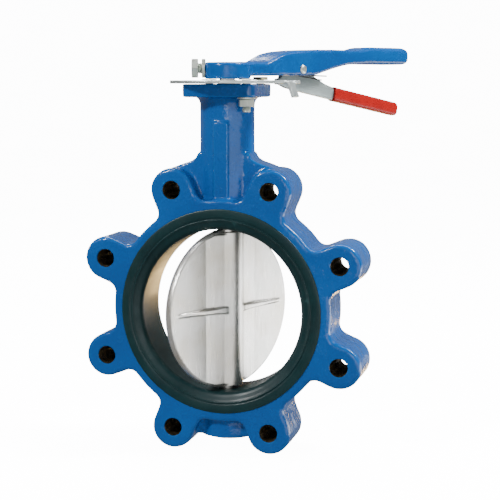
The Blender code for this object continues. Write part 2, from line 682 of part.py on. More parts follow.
def hollow_outline():
    """The slot in the grip that the trigger's tang fills."""
    return [(0.1504, -0.0431), (0.0550, -0.0273), (0.0550, -0.0174), (0.1504, -0.0333)]


def make_pin_and_spring():
    inside, outside = PIN_HEAD_Y
    pin = rod("trigger_pin", PIN_R, (0, -inside - 0.0001, 0), (0, inside + 0.0001, 0), sides=20)
    keep(pin, (ZINC, 0.35, 0.8), PIN_SEAT)
    for side in (-1, 1):
        join(pin, rod("pin_head", PIN_HEAD_R[0], (0, side * inside, 0), (0, side * outside, 0),
                      sides=24, end_radius=PIN_HEAD_R[1]))
    coil_r, wire_r, turns, pitch, near = 0.0052, 0.0007, 3, 0.0019, -0.0036
    steps = 10 * turns
    coil = []
    for i in range(steps + 1):
        angle = -math.pi / 2 + 2 * math.pi * turns * i / steps
        coil.append((coil_r * math.cos(angle), near - pitch * turns * i / steps, coil_r * math.sin(angle)))
    first = [(0.0410, near, -0.0100)]
    last = [(0.0418, coil[-1][1], -0.0062)]
    keep(wire("trigger_spring", first + coil + last, wire_r, resolution=1),
         ((0.08, 0.08, 0.08, 1), 0.35, 0.9), TRIGGER_AXIS)


clear_scene()
PARTS = collection("butterfly_valve")
CUTTERS = collection("cutters")
STEM_AXIS = empty("stem_axis", (0, 0, 0))
PIN_SEAT = empty("pin_seat", (PIN_REACH, 0, FACE_Z + PIN_HEIGHT), STEM_AXIS)
TRIGGER_AXIS = empty("trigger_axis", (PIN_REACH, 0, FACE_Z + PIN_HEIGHT), STEM_AXIS)

make_body()
make_liner()
make_bushes_and_seals()
make_bottom_plug()
make_disc()
make_stems()
make_plate()
make_plate_fixings()
make_lever()
make_clamp()
make_trigger()
make_pin_and_spring()
STEM_AXIS.rotation_euler.z = OPEN_ANGLE
bpy.context.view_layer.update()
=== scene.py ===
"""Looks for the lugged butterfly valve: fine castings, threads, materials, light and camera.

Everything is in metres in the valve's own frame: origin at the bore's centre, +Z along the stem,
+Y along the pipe.  Pieces of the turning parts are made with the lever along +X and then turned
to the lever's rest angle, which is read from the trigger's joint.
"""

import json
import math

import bmesh
import bpy
from mathutils import Matrix, Vector


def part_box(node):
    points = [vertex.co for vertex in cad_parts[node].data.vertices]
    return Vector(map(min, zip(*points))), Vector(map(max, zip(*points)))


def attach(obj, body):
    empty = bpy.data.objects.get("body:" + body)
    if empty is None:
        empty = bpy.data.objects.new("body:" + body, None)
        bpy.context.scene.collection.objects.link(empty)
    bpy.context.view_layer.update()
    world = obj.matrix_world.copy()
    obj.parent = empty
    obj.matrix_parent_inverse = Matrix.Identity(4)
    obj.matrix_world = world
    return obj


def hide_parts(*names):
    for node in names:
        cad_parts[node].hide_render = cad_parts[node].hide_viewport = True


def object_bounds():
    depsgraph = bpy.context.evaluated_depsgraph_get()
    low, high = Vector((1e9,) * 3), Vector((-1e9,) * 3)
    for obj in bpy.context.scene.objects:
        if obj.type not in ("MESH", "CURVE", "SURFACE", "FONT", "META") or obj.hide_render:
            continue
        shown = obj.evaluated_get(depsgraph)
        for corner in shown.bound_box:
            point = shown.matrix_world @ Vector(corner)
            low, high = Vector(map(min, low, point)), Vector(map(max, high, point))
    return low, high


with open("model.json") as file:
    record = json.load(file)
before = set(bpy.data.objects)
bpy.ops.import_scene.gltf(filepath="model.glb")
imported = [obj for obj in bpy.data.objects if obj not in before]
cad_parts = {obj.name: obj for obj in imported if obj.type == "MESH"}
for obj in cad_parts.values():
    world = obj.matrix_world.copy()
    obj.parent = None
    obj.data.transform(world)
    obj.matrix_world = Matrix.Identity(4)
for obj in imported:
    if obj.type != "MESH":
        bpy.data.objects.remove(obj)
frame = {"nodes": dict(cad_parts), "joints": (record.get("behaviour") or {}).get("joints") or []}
CAD_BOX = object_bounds()

# ---- places read from the frame
JOINTS = {joint["name"]: joint for joint in frame["joints"]}
PIN = Vector(JOINTS["trigger_squeeze"]["pos_m"])
LEVER_ANGLE = math.atan2(PIN.y, PIN.x)
PIN_REACH = math.hypot(PIN.x, PIN.y)
TURN = Matrix.Rotation(LEVER_ANGLE, 4, "Z")
GAP = 0.0003                # between touching pieces
PLATE_THICK = 0.003
PLATE_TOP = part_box("notch_plate")[1].z
PLATE_LOW = PLATE_TOP - PLATE_THICK
FACE_Z = PLATE_LOW - GAP    # the top flange's face
FOOT_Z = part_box("bottom_plug")[0].z - GAP

# ---- sizes the pieces share
BOLT_CIRCLE_R = 0.120
LUG_R = 0.0201
LUG_FILLET = 0.0095
LUG_FACE = 0.027            # half the width over the lug faces
LUG_MOUTH_R = 0.0085
BODY_R = 0.103
LINER_SEAT_R = 0.0857
LINER_FACE_R = 0.0945
LINER_BORE_R = 0.0755
STEM_BORE_R = 0.0123
STEM_HOLE_R = 0.0093        # through the seat and into the disc
NECK_R = 0.0252
NECK_DEPTH_R = 0.0217
RIB_HALF = 0.0150           # half the thickness of the shoulders and of the foot's web
FLANGE_HALF = 0.0337
FLANGE_LOW = 0.195
FLANGE_BOLT_R = 0.035
FLANGE_HOLE_R = 0.0045
SPOT_Z = 0.1954             # faced under the flange for the washers
DISC_WEB_HALF = 0.0040
DISC_HUB_R = 0.0142
NOTCH_COUNT = 7
NOTCH_STEP = math.radians(15)
NOTCH_ROOT_R = 0.0625
NOTCH_MOUTH_R = 0.0668
NOTCH_HALF = 0.0031
PLATE_BASE_R = 0.0525
TAB_ROOT_R = 0.0606
TAB_HALF = 0.0061
LEVER_START = 0.006         # the lever's bar, measured from the stem
LEVER_END = 0.2470
HOLLOW_START = 0.0262       # the hollow under the lever
HOLLOW_END = 0.148
SQUARE_HALF = 0.0073        # the lever's hole for the stem's square
CLAMP_ANGLE = math.radians(135)
CLAMP_FLAT = 0.0197         # the hub's flat under the lock nut
CLAMP_HEIGHT = 0.0141
CLAMP_ACROSS = 0.017
FLAT_DOWN = math.radians(30)    # turns a hexagon until two of its flats lie level
PIN_R = 0.0033
GRIP_BULB = 0.0055          # the rounded stretch at the grip's end
BACKDROP_GLOW = 14.0


# ---- mesh helpers
def linked(thing):
    bpy.context.scene.collection.objects.link(thing)
    return thing


def as_object(name, bm):
    bmesh.ops.recalc_face_normals(bm, faces=bm.faces)
    mesh = bpy.data.meshes.new(name)
    bm.to_mesh(mesh)
    bm.free()
    return linked(bpy.data.objects.new(name, mesh))


def discard(*things):
    for thing in things:
        bpy.data.objects.remove(thing, do_unlink=True)


def bake(piece):
    """Replaces a piece's mesh by what its modifiers make of it."""
    bpy.context.view_layer.update()
    evaluated = piece.evaluated_get(bpy.context.evaluated_depsgraph_get())
    mesh = bpy.data.meshes.new_from_object(evaluated)
    piece.modifiers.clear()
    piece.data = mesh
    return piece


def combined(name, pieces):
    """One object that holds the shells of several; the several are used up."""
    bm = bmesh.new()
    for piece in pieces:
        bm.from_mesh(piece.data)
    discard(*pieces)
    return as_object(name, bm)


def fused(name, pieces, voxel, passes):
    """Overlapping shells grown together on a voxel grid, with every corner softened."""
    whole = combined(name, pieces)
    grid = whole.modifiers.new("grown_together", "REMESH")
    grid.mode = "VOXEL"
    grid.voxel_size = voxel
    soft = whole.modifiers.new("softened", "SMOOTH")
    soft.factor = 0.5
    soft.iterations = passes
    return bake(whole)


def hammered(piece, size=0.011, depth=0.0005):
    """The slow unevenness of a sand casting, in the mesh itself."""
    lumps = bpy.data.textures.new(piece.name + "_lumps", "CLOUDS")
    lumps.noise_scale = size
    uneven = piece.modifiers.new("uneven", "DISPLACE")
    uneven.texture = lumps
    uneven.texture_coords = "GLOBAL"
    uneven.strength = depth
    return bake(piece)


def boolean(piece, tools, operation="DIFFERENCE", solver="MANIFOLD"):
    """Cuts a piece with tools that don't overlap; the tools are used up."""
    tool = tools[0] if len(tools) == 1 else combined("tools", tools)
    modifier = piece.modifiers.new("cut", "BOOLEAN")
    modifier.operation = operation
    modifier.solver = solver
    modifier.object = tool
    bake(piece)
    discard(tool)
    return piece


def shaded(piece, angle=35):
    """Smooth shading, with the edges sharper than the angle kept crisp."""
    piece.data.shade_smooth()
    piece.data.set_sharp_from_angle(angle=math.radians(angle))
    return piece


def bevelled(piece, width, segments=3, angle=30):
    modifier = piece.modifiers.new("edges", "BEVEL")
    modifier.width = width
    modifier.segments = segments
    modifier.limit_method = "ANGLE"
    modifier.angle_limit = math.radians(angle)
    return bake(piece)


def block(name, low, high):
    bm = bmesh.new()
    bmesh.ops.create_cube(bm, size=1)
    low, high = Vector(low), Vector(high)
    bmesh.ops.scale(bm, vec=high - low, verts=bm.verts)
    bmesh.ops.translate(bm, vec=(low + high) / 2, verts=bm.verts)
    return as_object(name, bm)


def rod(name, radius, start, end, sides=64, turn=0.0):
    start, end = Vector(start), Vector(end)
    along = end - start
    bm = bmesh.new()
    bmesh.ops.create_cone(bm, cap_ends=True, segments=sides, radius1=radius, radius2=radius,
                          depth=along.length)
    aim = along.to_track_quat("Z", "Y").to_matrix().to_4x4()
    place = Matrix.Translation((start + end) / 2) @ aim @ Matrix.Rotation(turn, 4, "Z")
    bmesh.ops.transform(bm, matrix=place, verts=bm.verts)
    return as_object(name, bm)


def prism(name, outline, low, high, plane="XZ"):
    """A flat outline pulled from low to high, across the plane it is drawn in."""
    bm = bmesh.new()
    if plane == "XZ":
        ring = [bm.verts.new((x, low, z)) for x, z in outline]
        move = Vector((0, high - low, 0))
    else:
        ring = [bm.verts.new((x, y, low)) for x, y in outline]
        move = Vector((0, 0, high - low))
    face = bm.faces.new(ring)
    pulled = bmesh.ops.extrude_face_region(bm, geom=[face], use_keep_orig=True)
    tops = [item for item in pulled["geom"] if isinstance(item, bmesh.types.BMVert)]
    bmesh.ops.translate(bm, vec=move, verts=tops)
    return as_object(name, bm)


def lathe(name, profile, sides=128, axis="Z", closed=False):
    """A profile of (radius, height) turned about an axis; radius 0 closes it on the axis."""
    bm = bmesh.new()
    rows = []
    for radius, height in profile:
        if radius == 0:
            rows.append([bm.verts.new((0, 0, height))] * sides)
        else:
            rows.append([bm.verts.new(around(radius, math.tau * n / sides, height)) for n in range(sides)])
    pairs = list(zip(rows, rows[1:]))
    if closed:
        pairs.append((rows[-1], rows[0]))
    for lower, upper in pairs:
        for n in range(sides):
            m = (n + 1) % sides
            corners = list(dict.fromkeys((lower[n], lower[m], upper[m], upper[n])))
            if len(corners) > 2:
                bm.faces.new(corners)
    made = as_object(name, bm)
    if axis == "Y":
        made.data.transform(Matrix.Rotation(-math.pi / 2, 4, "X"))
    return made


def skin(name, rows):
    """A closed skin over a run of sections that have the same number of points."""
    bm = bmesh.new()
    verts = [[bm.verts.new(point) for point in row] for row in rows]
    count = len(verts[0])
    for row, after in zip(verts, verts[1:]):
        for i in range(count):
            j = (i + 1) % count
            bm.faces.new((row[i], row[j], after[j], after[i]))
    bm.faces.new(verts[0])
    bm.faces.new(verts[-1])
    return as_object(name, bm)


def arc(centre, radius, start, end, steps):
    """Points on a circle in a plane, from one angle to another."""
    angles = [start + (end - start) * i / steps for i in range(steps + 1)]
    return [(centre[0] + radius * math.cos(a), centre[1] + radius * math.sin(a)) for a in angles]


def around(radius, angle, height=0.0):
    """A point at an angle about the Z axis."""
    return Vector((radius * math.cos(angle), radius * math.sin(angle), height))


def placed(piece, matrix):
    piece.data.transform(matrix)
    return piece


def smooth_step(value):
    value = min(max(value, 0.0), 1.0)
    return value * value * (3 - 2 * value)


# ---- material helpers
class Look:
    """A node material: a Principled shader and the few nodes the valve's finishes need."""

    def __init__(self, name, **values):
        self.made = bpy.data.materials.new(name)
        self.made.use_nodes = True
        self.tree = self.made.node_tree
        self.shader = self.tree.nodes["Principled BSDF"]
        self.place = self.add("ShaderNodeTexCoord").outputs["Object"]
        for socket, value in values.items():
            self.shader.inputs[socket.replace("_", " ")].default_value = value

    def add(self, kind):
        return self.tree.nodes.new(kind)

    def link(self, source, target):
        self.tree.links.new(source, target)

    def noise(self, scale, detail=3.0, rough=0.5, stretch=(1, 1, 1)):
        mapping = self.add("ShaderNodeMapping")
        mapping.inputs["Scale"].default_value = stretch
        self.link(self.place, mapping.inputs["Vector"])
        node = self.add("ShaderNodeTexNoise")
        node.inputs["Scale"].default_value = scale
        node.inputs["Detail"].default_value = detail
        node.inputs["Roughness"].default_value = rough
        self.link(mapping.outputs["Vector"], node.inputs["Vector"])
        return node.outputs["Fac"]

    def spots(self, scale, low, high):
        """1 inside scattered small round spots, 0 elsewhere."""
        node = self.add("ShaderNodeTexVoronoi")
        node.inputs["Scale"].default_value = scale
        self.link(self.place, node.inputs["Vector"])
        return self.spread(node.outputs["Distance"], low, high, 1.0, 0.0)

    def edges(self, low=0.50, high=0.56):
        """1 along outward edges."""
        geometry = self.add("ShaderNodeNewGeometry")
        return self.spread(geometry.outputs["Pointiness"], low, high, 0.0, 1.0)

    def spread(self, source, low, high, to_low, to_high):
        node = self.add("ShaderNodeMapRange")
        for socket, value in (("From Min", low), ("From Max", high), ("To Min", to_low), ("To Max", to_high)):
            node.inputs[socket].default_value = value
        self.link(source, node.inputs["Value"])
        return node.outputs["Result"]

    def colours(self, factor, stops):
        node = self.add("ShaderNodeValToRGB")
        ramp = node.color_ramp
        while len(ramp.elements) < len(stops):
            ramp.elements.new(0.5)
        for element, (place, colour) in zip(ramp.elements, stops):
            element.position = place
            element.color = (*colour, 1)
        self.link(factor, node.inputs["Fac"])
        return node.outputs["Color"]

    def mixed(self, factor, first, second):
        node = self.add("ShaderNodeMix")
        node.data_type = "RGBA"
        self.link(factor, node.inputs["Factor"])
        for socket, value in ((node.inputs[6], first), (node.inputs[7], second)):
            if isinstance(value, tuple):
                socket.default_value = (*value, 1)
            else:
                self.link(value, socket)
        return node.outputs[2]

    def summed(self, first, second, weight):
        node = self.add("ShaderNodeMath")
        node.operation = "MULTIPLY_ADD"
        node.inputs[1].default_value = weight
        self.link(second, node.inputs[0])
        self.link(first, node.inputs[2])
        return node.outputs["Value"]

    def colour(self, source):
        self.link(source, self.shader.inputs["Base Color"])

    def roughness(self, source, low, high, start=0.3, stop=0.7):
        self.link(self.spread(source, start, stop, low, high), self.shader.inputs["Roughness"])

    def bump(self, height, distance, strength=1.0, coat=False):
        node = self.add("ShaderNodeBump")
        node.inputs["Strength"].default_value = strength
        node.inputs["Distance"].default_value = distance
        self.link(height, node.inputs["Height"])
        self.link(node.outputs["Normal"], self.shader.inputs["Normal"])
        if coat:
            self.link(node.outputs["Normal"], self.shader.inputs["Coat Normal"])


def blue_enamel(name, coat, strength):
    """Thick glossy epoxy over a sand casting: slow lumps, fine orange peel, and edges made paler by a painted
    highlight.
    """
    look = Look(name, IOR=1.5, Specular_IOR_Level=0.25, Coat_Weight=coat, Coat_Roughness=0.04)
    lumps = look.noise(55, 3)
    peel = look.noise(420, 2)
    patches = look.noise(14, 2)
    # strength below 1 darkens the whole base; the lever's copy uses this as painted shade
    dark = (0.000, 0.074 * strength, 0.300 * strength)
    light = (0.000, 0.096 * strength, 0.370 * strength)
    base = look.colours(patches, [(0.3, dark), (0.7, light)])
    # painted highlight: a brighter blue mixed in along the outward edges
    highlit_edges = look.mixed(look.edges(0.515, 0.60), base, (0.000, 0.170, 0.520))
    look.colour(look.mixed(look.spots(900, 0.05, 0.12), highlit_edges, (0.000, 0.054, 0.220)))
    look.roughness(lumps, 0.18, 0.32)
    look.bump(look.summed(lumps, peel, 0.20), 0.0016, 0.75, coat=True)
    return look.made


def seat_rubber():
    """Green-black EPDM: satin, slightly bloomed, with fine moulding marks."""
    look = Look("seat_rubber", IOR=1.5, Specular_IOR_Level=0.30)
    bloom = look.noise(38, 4)
    grain = look.noise(700, 2)
    streaks = look.noise(60, 3, stretch=(1, 0.15, 1))
    base = look.colours(bloom, [(0.30, (0.0020, 0.0190, 0.0215)), (0.70, (0.0050, 0.0300, 0.0330))])
    # painted highlight: paler green-black along the ridges and edges
    look.colour(look.mixed(look.edges(0.52, 0.60), base, (0.014, 0.052, 0.056)))
    look.roughness(streaks, 0.30, 0.46)
    look.bump(look.summed(bloom, grain, 0.12), 0.0005, 0.35)
    return look.made


def disc_steel():
    """Cast stainless, ground bright: fine vertical grinding marks and warm, uneven patches."""
    look = Look("disc_steel", Metallic=0.92)
    patches = look.noise(26, 3)
    ground = look.noise(240, 3, stretch=(6, 6, 0.25))
    grit = look.noise(900, 2)
    base = look.colours(patches, [(0.30, (0.66, 0.62, 0.53)), (0.55, (0.80, 0.79, 0.76)),
                                  (0.75, (0.70, 0.73, 0.69))])
    look.colour(look.mixed(look.spread(ground, 0.35, 0.65, 0.0, 0.35), base, (0.86, 0.85, 0.82)))
    look.roughness(ground, 0.26, 0.44)
    look.bump(look.summed(ground, grit, 0.4), 0.00022, 0.5)
    return look.made


def turned_steel():
    """Bright bar, with the rings a lathe leaves."""
    look = Look("turned_steel", Metallic=1.0)
    rings = look.noise(900, 2, stretch=(0.05, 0.05, 3))
    smears = look.noise(50, 3)
    look.colour(look.colours(smears, [(0.3, (0.50, 0.49, 0.46)), (0.7, (0.62, 0.61, 0.58))]))
    look.roughness(rings, 0.20, 0.36)
    look.bump(rings, 0.0001, 0.4)
    return look.made


def zinc(name, dark, light, low=0.28, high=0.46, grain=300):
    """Electroplated zinc: pale, faintly mottled, and paler along its edges, a painted highlight."""
    look = Look(name, Metallic=0.85)
    bloom = look.noise(70, 4)
    fine = look.noise(grain, 3)
    base = look.colours(bloom, [(0.30, dark), (0.70, light)])
    # painted highlight: the edges a little brighter than the plating
    edge_highlight = tuple(min(1.0, 1.15 * part) for part in light)
    look.colour(look.mixed(look.edges(0.52, 0.60), base, edge_highlight))
    look.roughness(fine, low, high)
    look.bump(look.summed(bloom, fine, 0.5), 0.0002, 0.4)
    return look.made


def rolled_plate():
    """Galvanised sheet for the trigger: matt grey with rolling marks along it."""
    look = Look("rolled_plate", Metallic=0.55)
    rolling = look.noise(160, 3, stretch=(0.2, 0.2, 3))
    bloom = look.noise(45, 4)
    base = look.colours(bloom, [(0.30, (0.36, 0.43, 0.43)), (0.70, (0.44, 0.51, 0.50))])
    # painted highlight: paler grey along the plate's edges
    look.colour(look.mixed(look.edges(0.53, 0.62), base, (0.58, 0.62, 0.61)))
    look.roughness(rolling, 0.40, 0.58)
    look.bump(look.summed(bloom, rolling, 0.6), 0.0003, 0.35)
    return look.made


def tapped_iron():
    """Bare iron inside the lug holes: browned and oily, with bright golden spots painted in as glints."""
    look = Look("tapped_iron", Metallic=0.75)
    rust = look.noise(190, 4)
    # painted glints: small bright golden spots scattered over the iron
    painted_glints = look.spots(650, 0.10, 0.22)
    base = look.colours(rust, [(0.35, (0.025, 0.021, 0.012)), (0.65, (0.110, 0.085, 0.045))])
    look.colour(look.mixed(painted_glints, base, (0.42, 0.36, 0.22)))
    look.roughness(rust, 0.30, 0.55)
    look.bump(rust, 0.0003, 0.4)
    return look.made


def dipped_pvc():
    """Red plastisol: soft sheen, faint drips, a slightly chalky surface."""
    look = Look("dipped_pvc", IOR=1.48, Specular_IOR_Level=0.25, Coat_Weight=0.04)
    drips = look.noise(60, 2, stretch=(1, 1, 0.4))
    chalk = look.noise(900, 2)
    base = look.colours(drips, [(0.30, (0.34, 0.003, 0.002)), (0.70, (0.46, 0.005, 0.003))])
    look.colour(look.mixed(look.spread(chalk, 0.55, 0.8, 0.0, 0.20), base, (0.55, 0.020, 0.014)))
    look.roughness(chalk, 0.36, 0.50)
    look.bump(look.summed(drips, chalk, 0.15), 0.0006, 0.4)
    return look.made


def cast_bronze():
    """Bush metal: warm, dull, with a slow change of tone."""
    look = Look("cast_bronze", Metallic=0.9)
    bloom = look.noise(90, 3)
    look.colour(look.colours(bloom, [(0.3, (0.42, 0.27, 0.11)), (0.7, (0.56, 0.38, 0.17))]))
    look.roughness(bloom, 0.32, 0.46)
    look.bump(look.noise(500, 2), 0.0001, 0.4)
    return look.made


def seal_rubber():
    """Black O-ring rubber."""
    look = Look("seal_rubber", IOR=1.5)
    bloom = look.noise(200, 3)
    look.colour(look.colours(bloom, [(0.3, (0.012, 0.012, 0.012)), (0.7, (0.028, 0.028, 0.028))]))
    look.roughness(bloom, 0.42, 0.58)
    look.bump(bloom, 0.0001, 0.3)
    return look.made


def spring_steel():
    """Dark oiled wire; the base is darker still, painted shade for the shadow round the spring."""
    look = Look("spring_steel", Metallic=0.9)
    oil = look.noise(150, 3)
    look.colour(look.colours(oil, [(0.3, (0.03, 0.03, 0.03)), (0.7, (0.08, 0.078, 0.075))]))
    look.roughness(oil, 0.28, 0.42)
    look.bump(look.noise(900, 2), 0.0001, 0.3)
    return look.made


# ---- putting a piece on the valve
def install(piece, body, look, replaces=None):
    """Gives a finished piece its material and body, and hides the CAD node it stands for."""
    piece.data.materials.clear()
    piece.data.materials.append(look)
    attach(piece, body)
    if replaces:
        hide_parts(replaces)


def refinish(node, look):
    """Gives a CAD node that stays in view a finished material."""
    piece = frame["nodes"][node]
    piece.data.materials.clear()
    piece.data.materials.append(look)
    shaded(piece)


# ---- body
def lug_angles():
    return [math.radians(22.5 + 45 * n) for n in range(8)]


def lug_outline():
    """The ring and its lugs from the front, with a hollow corner on each side of every lug."""
    side = LUG_R + LUG_FILLET
    out = math.sqrt((BODY_R + LUG_FILLET) ** 2 - side ** 2)
    root = math.atan2(side, -out)
    half = math.atan2(side, out)
    spare = math.radians(45) - 2 * half
    points = []
    for angle in lug_angles():
        lug = arc((out, -side), LUG_FILLET, root, math.pi / 2, 8)
        lug += arc((BOLT_CIRCLE_R, 0), LUG_R, -math.pi / 2, math.pi / 2, 24)
        lug += arc((out, side), LUG_FILLET, -math.pi / 2, -root, 8)
        lug += arc((0, 0), BODY_R, half + spare / 6, half + spare * 5 / 6, 4)
        turn = Matrix.Rotation(angle, 2)
        points += [turn @ Vector(point) for point in lug]
    return points


def mirrored(half):
    """A run of points, then the same run mirrored and walked back."""
    return half + [(-x, z) for x, z in reversed(half)]


def rounded_square(half, corner, steps=8):
    points = []
    for n in range(4):
        angle = math.pi / 2 * n
        centre = Matrix.Rotation(angle, 2) @ Vector((half - corner, half - corner))
        points += arc(centre, corner, angle, angle + math.pi / 2, steps)
    return points


def flange_spots():
    return [around(FLANGE_BOLT_R, math.radians(a)) for a in (45, 135, 225, 315)]


def casting():
    """The body before machining: ring, lugs, neck, shoulders, foot and top flange."""
    root, neck_top = 0.090, FLANGE_LOW + 0.001
    neck_side = [(0, root), (NECK_R, root), (NECK_R, 0.1885), (NECK_R + 0.0007, 0.1915),
                 (NECK_R + 0.0040, neck_top), (0, neck_top)]
    shoulder_side = [(0.052, 0.095), (0.049, 0.1306), (0.041, 0.1337), (0.031, 0.1371),
                     (0.0262, 0.1402), (0.0244, 0.1450)]
    web_side = [(0.030, FOOT_Z + 0.0016), (0.036, FOOT_Z + 0.0032), (0.046, -0.095)]
    foot_r, foot_depth, edge_r, corner_r = 0.0241, 0.84, 0.0032, 0.006
    neck = placed(lathe("neck", neck_side), Matrix.Diagonal((1, NECK_DEPTH_R / NECK_R, 1, 1)))
    pad = block("pad", (-0.0066, -0.0231, 0.104), (0.0066, 0, 0.1725))
    shoulder = prism("shoulder", mirrored(shoulder_side), -RIB_HALF, RIB_HALF)
    foot = placed(rod("foot", foot_r, (0, 0, FOOT_Z), (0, 0, -root)), Matrix.Diagonal((1, foot_depth, 1, 1)))
    web = prism("web", mirrored(web_side), -RIB_HALF, RIB_HALF)
    flange = prism("flange", rounded_square(FLANGE_HALF, corner_r), FLANGE_LOW, FACE_Z, plane="XY")
    ring = bevelled(prism("ring", lug_outline(), -LUG_FACE, LUG_FACE), edge_r, 4, angle=60)
    return hammered(fused("cast_body", [ring, neck, pad, shoulder, foot, web, flange], 0.0011, 9))


def machining():
    """The tools that cut the seat, the stem's bore, the tapped lugs and the top flange's holes."""
    seat = rod("seat", LINER_SEAT_R, (0, -0.05, 0), (0, 0.05, 0), sides=192)
    bore = rod("bore", STEM_BORE_R, (0, 0, -0.15), (0, 0, 0.25))
    chamfer, run_out = 0.0005, 0.0045        # run_out: how far a 45 degree cutter goes past the face
    deep, past = LUG_FACE - chamfer, LUG_FACE + run_out
    rim = LUG_MOUTH_R + chamfer + run_out
    mouth = [(0, -past), (rim, -past), (LUG_MOUTH_R, -deep), (LUG_MOUTH_R, deep), (rim, past), (0, past)]
    holes = []
    for angle in lug_angles():
        x, z, _ = around(BOLT_CIRCLE_R, angle)
        holes.append(placed(lathe("lug_hole", mouth, 64, axis="Y"), Matrix.Translation((x, 0, z))))
    below, seat_r = 0.1865, 0.0092
    for x, y, _ in flange_spots():
        holes.append(rod("flange_hole", FLANGE_HOLE_R, (x, y, below), (x, y, 0.25), sides=32))
    washer_seats = [rod("washer_seat", seat_r, (x, y, below), (x, y, SPOT_Z), sides=48)
                    for x, y, _ in (flange_spots()[1], flange_spots()[3])]
    return [[seat], [bore], holes, washer_seats]


def make_body(look):
    """The iron body, machined where the seat, stem, studs and washers go."""
    body = casting()
    for tools in machining():
        boolean(body, tools)
    install(shaded(body, 40), "body", look, "valve_body")


def thread_wall(inner, outer, turns_at):
    """A thread's radius at a place along its pitch: a V with a small flat at root and crest."""
    flat = 0.12
    wave = abs((turns_at % 1.0) * 2 - 1)
    wave = min(max((wave - flat) / (1 - 2 * flat), 0.0), 1.0)
    return inner + (outer - inner) * wave


def nut_thread(name, inner, outer, pitch, length, sides=40, steps=8):
    """A tapped wall as a closed tube: the thread inside, a plain cylinder outside."""
    rows = int(length / pitch * steps)
    profile_rows = []
    for row in range(rows + 1):
        height = -length / 2 + length * row / rows
        lead = min(1.0, 1.4 * min(row, rows - row) / steps)
        ring = []
        for n in range(sides):
            wall = thread_wall(inner, outer, height / pitch + n / sides)
            wall = wall * lead + (outer - 0.0001) * (1 - lead)
            ring.append(around(wall, math.tau * n / sides, height))
        profile_rows.append(ring)
    bm = bmesh.new()
    back = outer + 0.00005
    inside = [[bm.verts.new(point) for point in ring] for ring in profile_rows]
    bottom, top = [[bm.verts.new(around(back, math.tau * n / sides, height)) for n in range(sides)]
                   for height in (-length / 2, length / 2)]
    strips = list(zip(inside, inside[1:])) + [(inside[-1], top), (top, bottom), (bottom, inside[0])]
    for lower, upper in strips:
        for n in range(sides):
            m = (n + 1) % sides
            bm.faces.new((lower[n], lower[m], upper[m], upper[n]))
    return as_object(name, bm)


def make_lug_threads(look):
    """M20 threads, 2.5 mm pitch, in the eight lugs."""
    crest_r, root_r, pitch = LUG_MOUTH_R - 0.0007, LUG_MOUTH_R - 0.0001, 0.0025
    pattern = nut_thread("pattern", crest_r, root_r, pitch, 2 * LUG_FACE - 0.0024)
    placed(pattern, Matrix.Rotation(math.pi / 2, 4, "X"))
    for number, angle in enumerate(lug_angles()):
        x, z, _ = around(BOLT_CIRCLE_R, angle)
        thread = linked(bpy.data.objects.new(f"lug_thread_{number}", pattern.data.copy()))
        placed(thread, Matrix.Translation((x, 0, z)))
        install(shaded(thread, 30), "body", look)
    discard(pattern)


def make_liner(look):
    """The seat: a barrel with lipped faces, a groove and a bead round each one."""
    bead = arc((0.0846, 0.0271), 0.0009, math.radians(150), math.radians(20), 6)
    face = [(LINER_BORE_R, 0.0205), (0.07565, 0.0222), (0.0764, 0.0238), (0.0776, 0.0250), (0.0795, 0.0259),
            (0.0818, 0.0267), *bead, (0.0859, 0.0275), (0.0863, 0.0275), (0.0867, 0.0278),
            (0.0873, 0.0280), (0.0934, 0.0280), (0.0942, 0.0278), (0.0945, 0.0275),
            (LINER_FACE_R, LUG_FACE + GAP), (LINER_SEAT_R - GAP, LUG_FACE + GAP)]
    profile = face + [(radius, -height) for radius, height in reversed(face)]
    liner = lathe("rubber_seat", profile, 256, axis="Y", closed=True)
    boolean(liner, [rod("stem_hole", STEM_HOLE_R, (0, 0, -0.1), (0, 0, 0.1))])
    install(shaded(liner, 50), "body", look, "seat_liner")


# ---- disc
def make_disc(look):
    """The disc: a flat web, a hub with long flanks along the stem, and a tapering rib across it."""
    blank_r, hub_half, flank_half = 0.0760, 0.0726, 0.0700
    web = [(0, -DISC_WEB_HALF), (blank_r, -DISC_WEB_HALF), (blank_r, DISC_WEB_HALF), (0, DISC_WEB_HALF)]
    plate = lathe("plate", web, axis="Y")
    hub = rod("hub", DISC_HUB_R, (0, 0, -hub_half), (0, 0, hub_half))
    quarter = [(0.031, DISC_WEB_HALF), (0.0215, 0.0060), (0.0125, 0.0088), (0.0090, 0.0110)]
    flank = mirrored(quarter)
    flank += [(-x, -y) for x, y in flank]
    flanks = prism("flanks", flank, -flank_half, flank_half, plane="XY")
    end_rise, end_thick, hub_rise, hub_thick = 0.0038, 0.0010, 0.0112, 0.0027
    sections = [(-0.0690, end_rise, end_thick), (-0.0120, hub_rise, hub_thick),
                (0.0120, hub_rise, hub_thick), (0.0690, end_rise, end_thick)]
    corners = ((1, 1), (-1, 1), (-1, -1), (1, -1))
    rib = skin("rib", [[(x, side * rise, level * thick) for side, level in corners]
                       for x, rise, thick in sections])
    disc = fused("valve_disc", [plate, hub, flanks, rib], 0.0006, 5)
    edge = [(0, -0.030), (0.0705, -0.030), (0.0724, -0.0041), (0.0740, -0.0035), (0.0746, -0.0022),
            (0.0748, 0), (0.0746, 0.0022), (0.0740, 0.0035), (0.0724, 0.0041), (0.0705, 0.030), (0, 0.030)]
    boolean(disc, [lathe("rim", edge, 256, axis="Y")], "INTERSECT")
    boolean(disc, [rod("top_hole", STEM_HOLE_R, (0, 0, 0.050), (0, 0, 0.09)),
                   rod("bottom_hole", STEM_HOLE_R, (0, 0, -0.09), (0, 0, -0.0447))])
    install(shaded(placed(disc, TURN), 40), "stem", look, "disc")


